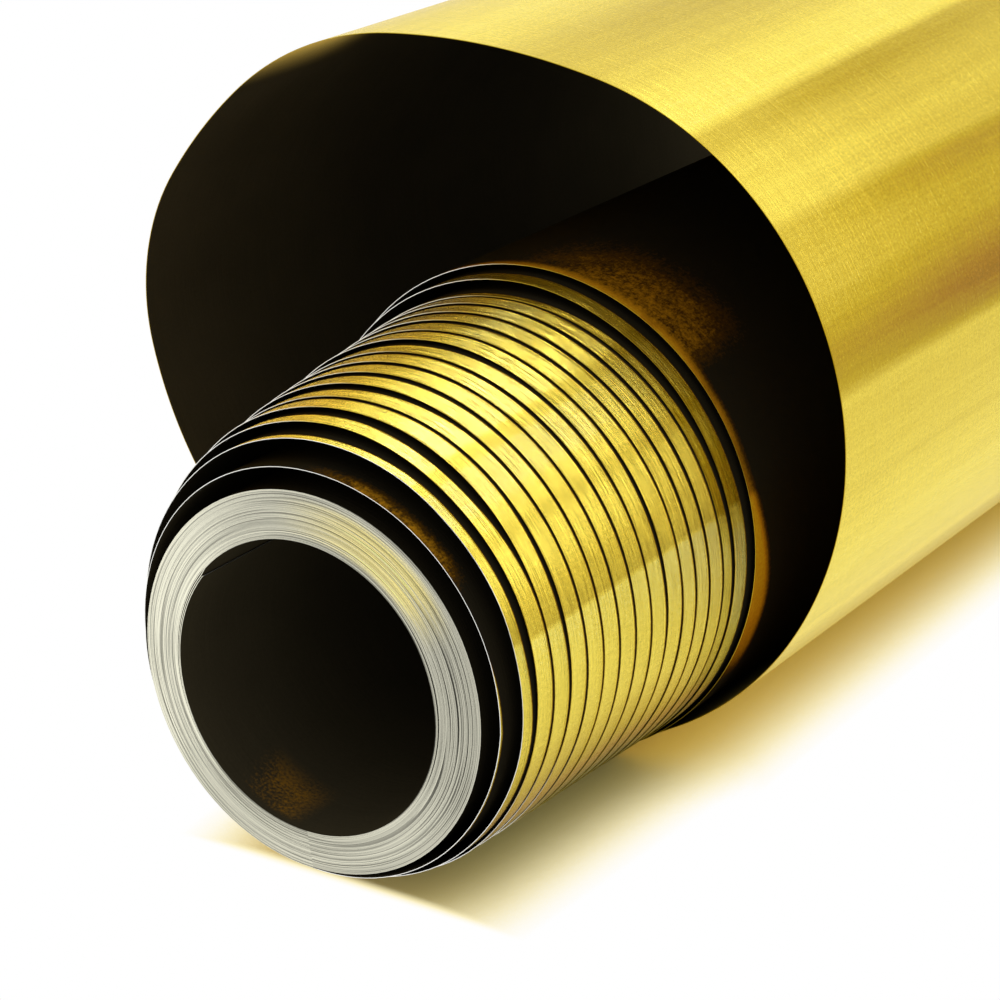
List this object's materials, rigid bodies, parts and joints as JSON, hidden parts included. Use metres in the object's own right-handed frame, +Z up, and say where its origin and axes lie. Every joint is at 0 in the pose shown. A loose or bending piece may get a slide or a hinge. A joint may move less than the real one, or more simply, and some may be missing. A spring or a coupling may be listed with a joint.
{
  "type": "roll of metal foil",
  "caption": "Roll of bright brass foil on its side, wound tight at the bore, its turns slipped out along the axis and its last turn sprung open into a wide loop.",
  "frame": {"origin": "on the floor, below the middle of the box round the whole roll", "axes": "+Y runs along the roll's axis from the tight ring's end towards the sprung loop's end, +Z is up, and the sprung loop leans towards -X"},
  "size_m": [0.1058, 0.2132, 0.0906],
  "materials": {
    "foil_brass": "bright rolled foil with fine grain along its length, edges cut bare"
  },
  "bodies": {
    "root": {"foil_roll": "foil_brass"}
  },
  "joints": []
}
